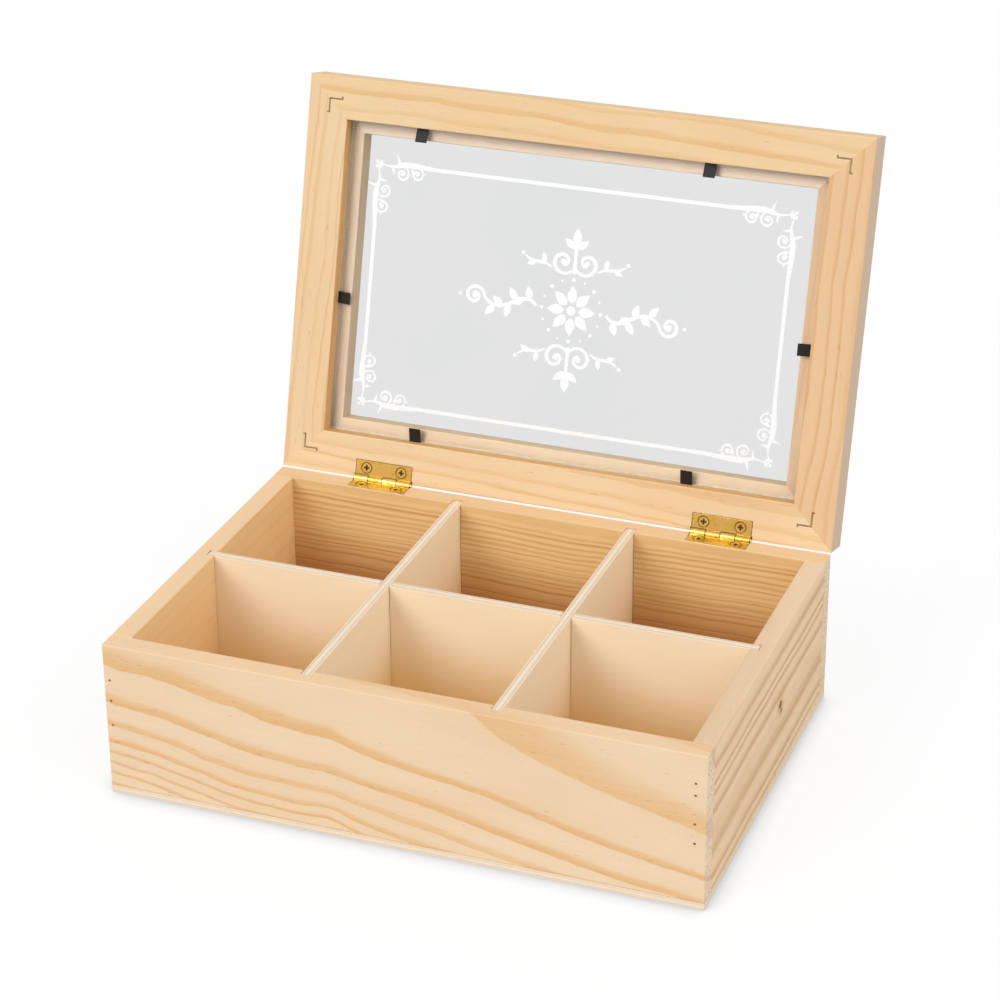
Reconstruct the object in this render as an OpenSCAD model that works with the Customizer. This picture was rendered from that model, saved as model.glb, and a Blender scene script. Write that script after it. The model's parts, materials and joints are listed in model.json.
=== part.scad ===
// Tea bag organizer box: a pine box with six plywood compartments and a hinged, glazed lid.
// Millimetres. +X runs to the right, +Y to the back, +Z up.
// The origin is the centre of the underside. The lid is drawn open, as it stands by itself.

/* [Box] */
// Outside width, left to right
box_w = 240; // [200:1:320]
// Outside depth, front to back
box_d = 166; // [140:1:220]
// Outside height without the lid, bottom panel included
box_h = 65; // [55:1:100]
// Thickness of the four wall boards
wall_t = 8.5; // [8:0.5:12]
// Thickness of the plywood bottom panel
bottom_t = 3; // [2:0.5:6]

/* [Dividers] */
// Thickness of the plywood dividers
divider_t = 4; // [2:0.5:5]
// Depth of the grooves in the walls that hold the dividers' ends
groove_depth = 3.5; // [2:0.25:3.5]
// Play between a divider and each side of its groove or slot
divider_play = 0.25; // [0.05:0.05:0.4]
// Gap left between a divider's end and the end of its groove
divider_end_gap = 0.4; // [0.1:0.1:0.8]
// How far the dividers' tops lie below the rim
divider_drop = 0.3; // [0:0.1:3]

/* [Lid frame] */
// Width of the mitred rails and stiles
rail_w = 23; // [20:0.5:32]
// Thickness of the rails and stiles
rail_t = 16; // [12:0.5:18]
// Width of the rabbet that holds the glass
rabbet_w = 5.5; // [4:0.5:8]
// Depth of the rabbet, measured from the lid's inner face
rabbet_depth = 7.5; // [4.5:0.5:8]
// Radius of the eased edges round the lid's outer face
rail_edge_r = 1.5; // [0.5:0.25:3]
// Gap between the closed lid and the rim
closed_gap = 0.3; // [0.1:0.1:1]
// Angle at which the open lid stands against the hinges' stop
open_angle = 105; // [90:1:120]

/* [Glass] */
// Thickness of the glass pane
glass_t = 2; // [2:0.5:3]
// Play between the glass and each wall of the rabbet
glass_play = 0.5; // [0.2:0.1:1.5]
// Width of the black tabs that hold the glass
tab_w = 5; // [3:0.5:8]
// Thickness of the tabs
tab_t = 0.5; // [0.3:0.1:1]
// How far the tabs reach over the glass
tab_reach = 6; // [3:0.5:9]
// How deep the tabs are driven into the rabbet's wall
tab_bite = 7; // [3:0.5:9]
// Play between a tab and the glass
tab_play = 0.1; // [0.05:0.05:0.3]
// Angle by which a tab's free end is bent up off the glass
tab_tilt = 18; // [0:1:20]

/* [Hinges] */
// Distance of each hinge's centre from the end of the box
hinge_inset = 46; // [30:1:60]
// Length of the leaves along the hinge line
leaf_l = 25; // [20:0.5:40]
// Depth of a leaf, measured from the pin's axis
leaf_depth = 7.8; // [7.2:0.1:8]
// Thickness of the leaves
leaf_t = 1; // [0.6:0.1:1.4]
// Outside diameter of the knuckles
barrel_d = 3.2; // [2.8:0.1:5]
// Distance of the pin's axis behind the back face of the box
axis_setout = 0.3; // [0.2:0.1:1]
// Gap between neighbouring knuckles
knuckle_gap = 0.25; // [0.05:0.05:0.4]
// Diameter of the hinge pins
pin_d = 1.5; // [1:0.1:2]
// Radial play between a pin and its knuckles
pin_play = 0.04; // [0.02:0.01:0.09]
// Diameter of the peened pin ends
pin_head_d = 2.4; // [2.2:0.1:2.8]
// Thickness of the peened pin ends
pin_head_t = 0.35; // [0.2:0.05:0.8]
// Play round a leaf in its mortise
leaf_play = 0.25; // [0.05:0.05:0.4]

/* [Screws] */
// Distance between a leaf's two screws
screw_spacing = 15.6; // [12:0.2:18]
// Distance of the screws from the pin's axis
screw_setback = 4.7; // [4.4:0.1:5]
// Diameter of the screws' shank
screw_d = 1.9; // [1.5:0.1:2.2]
// Diameter of the countersunk heads
screw_head_d = 4.4; // [3.6:0.1:5]
// Length of the screws, head included
screw_l = 7; // [5:0.5:9]
// Length of the screws' pointed tip
screw_tip = 1.6; // [1:0.1:2]
// Diameter of the blunt end of the tip
screw_tip_d = 0.3; // [0.1:0.1:0.6]
// Play between a screw head and its countersink
screw_head_play = 0.2; // [0.05:0.05:0.2]
// How much smaller the pilot holes are than the screws
screw_bite = 0.1; // [0.02:0.02:0.2]
// Width of the slots of the cross recess
recess_w = 0.8; // [0.4:0.1:0.9]
// Length of the slots of the cross recess
recess_l = 2.4; // [1.6:0.1:3]
// Depth of the cross recess
recess_depth = 0.8; // [0.4:0.1:1.2]

/* [Nails] */
// Diameter of the brads
brad_d = 1.2; // [0.8:0.1:1.6]
// Length of the corner brads
corner_brad_l = 22; // [16:1:35]
// Distance of the left corners' brads from the box's left side
left_brad_edge = 2.4; // [2:0.1:5]
// Distance of the right corners' brads from the box's right side
right_brad_edge = 4.4; // [2:0.1:5]
// Length of the brads that hold the bottom panel
bottom_brad_l = 16; // [10:1:25]
// How far the brads are set below the surface
brad_sink = 0.4; // [0.1:0.1:1]
// How much smaller the brads' holes are than the brads
brad_bite = 0.04; // [0.02:0.02:0.1]
// Length of each leg of a V-nail
v_nail_leg = 6.3; // [4:0.1:8]
// Thickness of a V-nail's strip
v_nail_t = 0.7; // [0.4:0.1:1]
// How deep the V-nails are driven
v_nail_depth = 7; // [4:0.5:9]
// Distance of a V-nail's bend from both outer edges
v_nail_inset = 9; // [7:0.5:10]
// Length of the turned-out end of a V-nail's leg
v_nail_hook = 1.4; // [1:0.1:2]

/* [Hidden] */

$fn = 48;
// Overshoot of a cut past the face that it opens
cut = 1;

// Finishes
pine = [0.90, 0.76, 0.58];
pine_inside = [0.86, 0.68, 0.46];
plywood = [0.93, 0.83, 0.68];
brass = [0.84, 0.68, 0.28];
steel = [0.55, 0.54, 0.52];
black_steel = [0.08, 0.08, 0.09];
glass = [0.82, 0.86, 0.86, 0.35];

// Box
wall_h = box_h - bottom_t;
side_l = box_d - 2 * wall_t;
inner_w = box_w - 2 * wall_t;
inner_d = side_l;
groove_w = divider_t + 2 * divider_play;

// Dividers: two cross dividers part the width into three equal compartments
cross_x = (inner_w + divider_t) / 6;
divider_h = wall_h - divider_drop;
divider_reach = groove_depth - divider_end_gap;
long_divider_l = inner_w + 2 * divider_reach;
cross_divider_l = inner_d + 2 * divider_reach;
halving_h = divider_h / 2;

// Lid, described as it lies closed on the box
lid_z = box_h + closed_gap;
face_w = rail_w - rabbet_w;
glass_w = box_w - 2 * face_w - 2 * glass_play;
glass_d = box_d - 2 * face_w - 2 * glass_play;
glass_z = lid_z + rabbet_depth - glass_t;
tab_z = glass_z - tab_play - tab_t;

// The tabs of the front and back rail, by their distance to the right of the lid's middle,
// and those of the stiles, by their distance behind the middle
front_tabs_x = [-70.5, 53];
back_tabs_x = [-63, 56];
left_tab_y = 9;
right_tab_y = 4;

// Hinges
barrel_r = barrel_d / 2;
axis_y = box_d / 2 + axis_setout;
axis_z = box_h + closed_gap / 2;
hinge_x = box_w / 2 - hinge_inset;
knuckle_l = (leaf_l - 3 * knuckle_gap) / 4;
knuckle_pitch = knuckle_l + knuckle_gap;
box_knuckles = [0, 2];
lid_knuckles = [1, 3];
// The wood, and a leaf beside the other's knuckles, stay this far from the pin's axis
leaf_clear = barrel_r + knuckle_gap;
mortise_l = leaf_l + 2 * leaf_play;
barrel_room_l = mortise_l + 2 * (pin_play + pin_head_t);

// Screws: the cone of the head is 90 degrees
screw_head_h = (screw_head_d - screw_d) / 2;
screw_sink = screw_head_play / 2;
pilot_d = screw_d - screw_bite;
countersink_d = screw_head_d + 2 * screw_head_play;
leaf_hole_d = max(countersink_d - 2 * leaf_t, screw_d + 2 * screw_head_play);
countersink_h = (countersink_d - leaf_hole_d) / 2;

// Brads: how far below the rim they sit at the left and at the right corner
left_brads_drop = [15.4, 24.3, 35];
right_brads_drop = [12, 17, 29, 37.2];
bottom_brad_edge = wall_t / 2;
brad_hole_d = brad_d - brad_bite;
// The bottom panel's brads: places along the boards, as shares of the width or depth
long_edge_shares = [-0.42, -0.22, 0.22, 0.42];
short_edge_shares = [-0.22, 0.22];

// ---- Placing ----

// Turns what lies closed on the box up to the open position
module lid_open() {
  translate([0, axis_y, axis_z])
    rotate([-open_angle, 0, 0])
      translate([0, -axis_y, -axis_z])
        children();
}

// Repeats a shape at the lid's four corners, +X and +Y pointing into the frame
module at_lid_corners() {
  corners = [[-1, -1], [1, -1], [1, 1], [-1, 1]];
  for (i = [0:3])
    translate([corners[i][0] * box_w / 2, corners[i][1] * box_d / 2, lid_z])
      rotate(90 * i)
        children();
}

// Repeats a shape at the places of the front or back brads, pointing along +Y
module at_corner_brads() {
  for (drop = left_brads_drop)
    translate([left_brad_edge - box_w / 2, 0, box_h - drop])
      rotate([-90, 0, 0])
        children();
  for (drop = right_brads_drop)
    translate([box_w / 2 - right_brad_edge, 0, box_h - drop])
      rotate([-90, 0, 0])
        children();
}

// Repeats a shape at the places of the bottom brads, pointing up
module at_bottom_brads() {
  for (share = long_edge_shares, side = [-1, 1])
    translate([share * box_w, side * (box_d / 2 - bottom_brad_edge), 0])
      children();
  for (share = short_edge_shares, side = [-1, 1])
    translate([side * (box_w / 2 - bottom_brad_edge), share * box_d, 0])
      children();
}

// Repeats a shape at a leaf's two screws
module at_screws(centre_x) {
  for (side = [-1, 1])
    translate([centre_x + side * screw_spacing / 2, axis_y - screw_setback, 0])
      children();
}

// ---- Fasteners ----

module brad(length, d) {
  translate([0, 0, brad_sink])
    cylinder(d = d, h = length);
}

// The hole that a brad makes, open at the surface
module brad_hole(length) {
  translate([0, 0, -cut])
    cylinder(d = brad_hole_d, h = length + brad_sink + cut);
}

module front_brad_holes() {
  translate([0, -box_d / 2, 0])
    at_corner_brads()
      brad_hole(corner_brad_l);
}

module back_brad_holes() {
  translate([0, box_d / 2, 0])
    mirror([0, 1, 0])
      at_corner_brads()
        brad_hole(corner_brad_l);
}

module bottom_brad_holes() {
  at_bottom_brads()
    brad_hole(bottom_brad_l);
}

// A countersunk wood screw that points down, its head's face at z = 0
module wood_screw() {
  shank_r = screw_d / 2;
  difference() {
    rotate_extrude()
      polygon([[0, 0], [screw_head_d / 2, 0], [shank_r, -screw_head_h],
        [shank_r, screw_tip - screw_l], [screw_tip_d / 2, -screw_l], [0, -screw_l]]);
    for (turn = [0, 90])
      rotate(turn)
        translate([-recess_l / 2, -recess_w / 2, -recess_depth])
          cube([recess_l, recess_w, recess_depth + cut]);
  }
}

// The hole in the wood for a screw, cut down from the face of its leaf at z = 0
module screw_hole() {
  head_room = screw_sink + screw_head_h + screw_head_play;
  translate([0, 0, -screw_l - screw_sink])
    cylinder(d = pilot_d, h = screw_l + screw_sink + cut);
  translate([0, 0, -head_room])
    cylinder(d = leaf_hole_d, h = head_room + cut);
}

// The countersunk hole through a leaf whose face is at z = 0
module leaf_hole() {
  translate([0, 0, -leaf_t - cut])
    cylinder(d = leaf_hole_d, h = leaf_t + 2 * cut);
  translate([0, 0, -countersink_h])
    cylinder(d1 = leaf_hole_d, d2 = countersink_d, h = countersink_h);
  cylinder(d = countersink_d, h = cut);
}

// A V-nail that stands up from z = 0, with its bend towards the frame's outer corner
module v_nail(height) {
  translate([v_nail_inset, v_nail_inset, 0])
    linear_extrude(height)
      union() {
        square([v_nail_leg, v_nail_t]);
        square([v_nail_t, v_nail_leg]);
        translate([v_nail_leg - v_nail_t, v_nail_t - v_nail_hook])
          square([v_nail_t, v_nail_hook]);
        translate([v_nail_t - v_nail_hook, v_nail_leg - v_nail_t])
          square([v_nail_hook, v_nail_t]);
      }
}

// One glass tab, driven towards -Y into a rabbet's wall at y = 0 and reaching out over the glass
module glass_tab() {
  rise = tab_reach * tan(tab_tilt);
  translate([-tab_w / 2, 0, tab_z])
    rotate([90, 0, 90])
      linear_extrude(tab_w)
        polygon([[-tab_bite, 0], [0, 0], [tab_reach, -rise],
          [tab_reach, tab_t - rise], [0, tab_t], [-tab_bite, tab_t]]);
}

// All six glass tabs of the closed lid
module all_glass_tabs() {
  for (x = front_tabs_x)
    translate([x, face_w - box_d / 2, 0])
      glass_tab();
  for (x = back_tabs_x)
    translate([x, box_d / 2 - face_w, 0])
      rotate(180)
        glass_tab();
  translate([face_w - box_w / 2, left_tab_y, 0])
    rotate(-90)
      glass_tab();
  translate([box_w / 2 - face_w, right_tab_y, 0])
    rotate(90)
      glass_tab();
}

// ---- Hinges ----

// One leaf as it lies on the box, its face at z = 0 and the pin's axis at y = 0
module leaf(own_knuckles) {
  axis_up = closed_gap / 2;
  difference() {
    union() {
      translate([-leaf_l / 2, -leaf_depth, -leaf_t])
        cube([leaf_l, leaf_depth - leaf_clear, leaf_t]);
      for (k = own_knuckles)
        translate([-leaf_l / 2 + k * knuckle_pitch, 0, 0]) {
          translate([0, -leaf_depth, -leaf_t])
            cube([knuckle_l, leaf_depth, leaf_t]);
          translate([0, 0, axis_up])
            rotate([0, 90, 0])
              cylinder(d = barrel_d, h = knuckle_l);
        }
    }
    translate([-leaf_l / 2 - cut, 0, axis_up])
      rotate([0, 90, 0])
        cylinder(r = pin_d / 2 + pin_play, h = leaf_l + 2 * cut);
    for (side = [-1, 1])
      translate([side * screw_spacing / 2, -screw_setback, 0])
        leaf_hole();
  }
}

module box_leaf(centre_x) {
  color(brass)
    translate([centre_x, axis_y, box_h])
      leaf(box_knuckles);
}

// The lid's leaf is the same shape turned over on the closed lid
module lid_leaf(centre_x) {
  color(brass)
    lid_open()
      translate([centre_x, axis_y, lid_z])
        mirror([0, 0, 1])
          leaf(lid_knuckles);
}

module hinge_pin(centre_x) {
  end_x = leaf_l / 2 + pin_play;
  color(brass)
    translate([centre_x, axis_y, axis_z])
      rotate([0, 90, 0]) {
        translate([0, 0, -end_x])
          cylinder(d = pin_d, h = 2 * end_x);
        translate([0, 0, end_x])
          cylinder(d = pin_head_d, h = pin_head_t);
        translate([0, 0, -end_x - pin_head_t])
          cylinder(d = pin_head_d, h = pin_head_t);
      }
}

module box_screws(centre_x) {
  color(brass)
    translate([0, 0, box_h - screw_sink])
      at_screws(centre_x)
        wood_screw();
}

module lid_screws(centre_x) {
  color(brass)
    lid_open()
      translate([0, 0, lid_z + screw_sink])
        mirror([0, 0, 1])
          at_screws(centre_x)
            wood_screw();
}

// The room for a hinge's knuckles and pin in the edges of the back board and the closed lid
module barrel_room(centre_x) {
  translate([centre_x - barrel_room_l / 2, axis_y, axis_z])
    rotate([0, 90, 0])
      cylinder(r = leaf_clear, h = barrel_room_l);
}

// What is cut from the back board's rim for one leaf and its screws
module box_mortise(centre_x) {
  barrel_room(centre_x);
  translate([centre_x - mortise_l / 2, axis_y - leaf_depth - leaf_play, box_h - leaf_t])
    cube([mortise_l, leaf_depth, leaf_t + cut]);
  translate([0, 0, box_h])
    at_screws(centre_x)
      screw_hole();
}

// What is cut from the lid's inner face for one leaf and its screws
module lid_mortise(centre_x) {
  barrel_room(centre_x);
  translate([centre_x - mortise_l / 2, axis_y - leaf_depth - leaf_play, lid_z - cut])
    cube([mortise_l, leaf_depth, leaf_t + cut]);
  translate([0, 0, lid_z])
    mirror([0, 0, 1])
      at_screws(centre_x)
        screw_hole();
}

// ---- Box body ----

// A board that spans the width, its outer face at -Y
module long_board() {
  difference() {
    translate([-box_w / 2, -box_d / 2, bottom_t])
      cube([box_w, wall_t, wall_h]);
    for (side = [-1, 1])
      translate([side * cross_x - groove_w / 2, -inner_d / 2 - groove_depth, bottom_t - cut])
        cube([groove_w, groove_depth + cut, wall_h + 2 * cut]);
    front_brad_holes();
    bottom_brad_holes();
  }
}

module front_board() {
  color(pine)
    long_board();
}

module back_board() {
  color(pine_inside)
    difference() {
      mirror([0, 1, 0])
        long_board();
      box_mortise(-hinge_x);
      box_mortise(hinge_x);
    }
}

// The board between the front and the back at the left
module side_board() {
  difference() {
    translate([-box_w / 2, -side_l / 2, bottom_t])
      cube([wall_t, side_l, wall_h]);
    translate([-inner_w / 2 - groove_depth, -groove_w / 2, bottom_t - cut])
      cube([groove_depth + cut, groove_w, wall_h + 2 * cut]);
  }
}

module left_side_board() {
  color(pine)
    difference() {
      side_board();
      front_brad_holes();
      back_brad_holes();
      bottom_brad_holes();
    }
}

module right_side_board() {
  color(pine)
    difference() {
      mirror([1, 0, 0])
        side_board();
      front_brad_holes();
      back_brad_holes();
      bottom_brad_holes();
    }
}

module bottom_panel() {
  color(plywood)
    difference() {
      translate([-box_w / 2, -box_d / 2, 0])
        cube([box_w, box_d, bottom_t]);
      bottom_brad_holes();
    }
}

// The long divider is halved from above
module long_divider() {
  color(plywood)
    difference() {
      translate([-long_divider_l / 2, -divider_t / 2, bottom_t])
        cube([long_divider_l, divider_t, divider_h]);
      for (side = [-1, 1])
        translate([side * cross_x - groove_w / 2, -divider_t / 2 - cut,
            bottom_t + halving_h - divider_play])
          cube([groove_w, divider_t + 2 * cut, divider_h]);
    }
}

// A cross divider is halved from below, so that its top runs through
module cross_divider(x) {
  color(plywood)
    difference() {
      translate([x - divider_t / 2, -cross_divider_l / 2, bottom_t])
        cube([divider_t, cross_divider_l, divider_h]);
      translate([x - divider_t / 2 - cut, -groove_w / 2, bottom_t - cut])
        cube([divider_t + 2 * cut, groove_w, halving_h + cut]);
    }
}

module left_cross_divider() {
  cross_divider(-cross_x);
}

module right_cross_divider() {
  cross_divider(cross_x);
}

module front_brads() {
  color(steel)
    translate([0, -box_d / 2, 0])
      at_corner_brads()
        brad(corner_brad_l, brad_d);
}

module back_brads() {
  color(steel)
    translate([0, box_d / 2, 0])
      mirror([0, 1, 0])
        at_corner_brads()
          brad(corner_brad_l, brad_d);
}

module bottom_brads() {
  color(steel)
    at_bottom_brads()
      brad(bottom_brad_l, brad_d);
}

// ---- Lid ----

// The section of the frame, outer edge at x = 0 and inner face at y = 0
module rail_section() {
  difference() {
    union() {
      square([rail_w, rail_t - rail_edge_r]);
      translate([rail_edge_r, 0])
        square([rail_w - rail_edge_r, rail_t]);
      translate([rail_edge_r, rail_t - rail_edge_r])
        circle(r = rail_edge_r);
    }
    translate([face_w, -cut])
      square([rabbet_w + cut, rabbet_depth + cut]);
  }
}

// A mitred bar along X, its outer edge at y = 0 and its inner face at z = 0
module frame_bar(length) {
  half = length / 2;
  intersection() {
    translate([-half, 0, 0])
      rotate([90, 0, 90])
        linear_extrude(length)
          rail_section();
    translate([0, 0, -cut])
      linear_extrude(rail_t + 2 * cut)
        polygon([[-half, 0], [half, 0], [half - rail_w, rail_w], [rail_w - half, rail_w]]);
  }
}

// A bar of the closed lid with the slots for its V-nails and glass tabs
module slotted_bar(length, turn, out) {
  difference() {
    rotate(turn)
      translate([0, -out, lid_z])
        frame_bar(length);
    at_lid_corners()
      translate([0, 0, -cut])
        v_nail(v_nail_depth + cut);
    all_glass_tabs();
  }
}

module lid_front_rail() {
  color(pine)
    lid_open()
      slotted_bar(box_w, 0, box_d / 2);
}

module lid_back_rail() {
  color(pine)
    lid_open()
      difference() {
        slotted_bar(box_w, 180, box_d / 2);
        lid_mortise(-hinge_x);
        lid_mortise(hinge_x);
      }
}

module lid_left_stile() {
  color(pine)
    lid_open()
      slotted_bar(box_d, -90, box_w / 2);
}

module lid_right_stile() {
  color(pine)
    lid_open()
      slotted_bar(box_d, 90, box_w / 2);
}

module lid_v_nails() {
  color(steel)
    lid_open()
      at_lid_corners()
        v_nail(v_nail_depth);
}

module glass_pane() {
  color(glass)
    lid_open()
      translate([-glass_w / 2, -glass_d / 2, glass_z])
        cube([glass_w, glass_d, glass_t]);
}

module glass_tabs() {
  color(black_steel)
    lid_open()
      all_glass_tabs();
}

front_board();
back_board();
left_side_board();
right_side_board();
bottom_panel();
long_divider();
left_cross_divider();
right_cross_divider();
front_brads();
back_brads();
bottom_brads();
box_leaf(-hinge_x);  // left_hinge_box_leaf
lid_leaf(-hinge_x);  // left_hinge_lid_leaf
hinge_pin(-hinge_x);  // left_hinge_pin
box_screws(-hinge_x);  // left_hinge_box_screws
lid_screws(-hinge_x);  // left_hinge_lid_screws
box_leaf(hinge_x);  // right_hinge_box_leaf
lid_leaf(hinge_x);  // right_hinge_lid_leaf
hinge_pin(hinge_x);  // right_hinge_pin
box_screws(hinge_x);  // right_hinge_box_screws
lid_screws(hinge_x);  // right_hinge_lid_screws
lid_front_rail();
lid_back_rail();
lid_left_stile();
lid_right_stile();
lid_v_nails();
glass_pane();
glass_tabs();
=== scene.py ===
"""A pine tea bag box with six compartments; its glazed lid stands open. Metres, seen on a white floor."""
import json
import math

import bmesh
import bpy
from mathutils import Euler, Matrix, Vector
from mathutils.geometry import delaunay_2d_cdt

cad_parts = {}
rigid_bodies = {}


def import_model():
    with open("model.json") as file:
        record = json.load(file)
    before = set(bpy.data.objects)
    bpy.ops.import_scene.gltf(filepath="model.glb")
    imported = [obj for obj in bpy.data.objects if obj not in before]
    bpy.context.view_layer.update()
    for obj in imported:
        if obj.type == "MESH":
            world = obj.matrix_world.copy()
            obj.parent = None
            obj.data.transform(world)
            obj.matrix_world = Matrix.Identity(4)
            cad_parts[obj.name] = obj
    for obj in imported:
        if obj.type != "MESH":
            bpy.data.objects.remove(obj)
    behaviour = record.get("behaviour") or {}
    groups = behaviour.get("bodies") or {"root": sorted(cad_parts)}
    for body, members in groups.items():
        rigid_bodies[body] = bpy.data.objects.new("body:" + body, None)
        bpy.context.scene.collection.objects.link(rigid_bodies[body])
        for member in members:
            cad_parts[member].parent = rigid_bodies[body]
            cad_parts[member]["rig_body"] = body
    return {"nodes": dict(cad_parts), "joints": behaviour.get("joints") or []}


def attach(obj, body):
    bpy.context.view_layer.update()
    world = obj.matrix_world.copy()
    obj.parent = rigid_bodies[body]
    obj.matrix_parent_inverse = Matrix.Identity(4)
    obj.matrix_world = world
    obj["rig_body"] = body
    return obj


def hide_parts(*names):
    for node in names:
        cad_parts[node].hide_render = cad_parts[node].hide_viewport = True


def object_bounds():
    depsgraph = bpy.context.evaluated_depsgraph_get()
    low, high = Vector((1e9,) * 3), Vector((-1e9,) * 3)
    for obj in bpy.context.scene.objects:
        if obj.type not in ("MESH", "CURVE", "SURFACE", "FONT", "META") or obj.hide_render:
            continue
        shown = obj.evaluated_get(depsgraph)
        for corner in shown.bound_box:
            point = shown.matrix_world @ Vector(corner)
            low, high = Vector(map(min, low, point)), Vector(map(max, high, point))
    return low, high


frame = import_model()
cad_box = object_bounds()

MM = 0.001

# ---- Facts taken from the frame ----

lid_joint = frame["joints"][0]
PIVOT = Vector(lid_joint["pos_m"])
OPEN = math.radians(lid_joint["range_deg"][1])
NODES = frame["nodes"]

# Turns a place on the open lid to where it lies with the lid closed, and back
TO_CLOSED = Matrix.Translation(PIVOT) @ Matrix.Rotation(OPEN, 4, "X") @ Matrix.Translation(-PIVOT)
TO_OPEN = TO_CLOSED.inverted()


def on_lid(node):
    """True if a CAD node belongs to the lid."""
    return NODES[node]["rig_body"] == "lid"


def flat_box(node):
    """Lowest and highest corner of a node, for the lid's nodes with the lid closed."""
    turn = TO_CLOSED if on_lid(node) else Matrix.Identity(4)
    places = [turn @ v.co for v in NODES[node].data.vertices]
    low = Vector(min(p[i] for p in places) for i in range(3))
    high = Vector(max(p[i] for p in places) for i in range(3))
    return low, high


# ---- Camera ----

# Where it stands: from the front round to the right, and above the floor
AZIMUTH = math.radians(20.81)
ELEVATION = math.radians(26.25)
# How far it is tilted about its line of sight, in radians
ROLL = -0.0067
# The point that it looks at, and how far from it it stands
AIM = Vector((0.0103, 0.0, 0.1093))
DISTANCE = 1.140
SENSOR = 36.0
LENS = SENSOR * 2.9891
CLIP_NEAR = 0.05
CLIP_FAR = 50.0


def make_camera():
    camera = bpy.data.objects.new("camera", bpy.data.cameras.new("camera"))
    bpy.context.scene.collection.objects.link(camera)
    camera.data.sensor_width = SENSOR
    camera.data.lens = LENS
    camera.data.clip_start = CLIP_NEAR
    camera.data.clip_end = CLIP_FAR
    level = math.cos(ELEVATION)
    back = Vector((math.sin(AZIMUTH) * level, -math.cos(AZIMUTH) * level, math.sin(ELEVATION)))
    camera.location = AIM + back * DISTANCE
    camera.rotation_mode = "QUATERNION"
    camera.rotation_quaternion = (-back).to_track_quat("-Z", "Y") @ Euler((0, 0, ROLL)).to_quaternion()
    bpy.context.scene.camera = camera


# ---- Short calls for shader nodes ----


def colour(red, green, blue):
    """A colour given in screen values from 0 to 255, as shaders want it."""

    def linear(value):
        share = value / 255
        return share / 12.92 if share <= 0.04045 else ((share + 0.055) / 1.055) ** 2.4

    return (linear(red), linear(green), linear(blue), 1.0)


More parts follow.
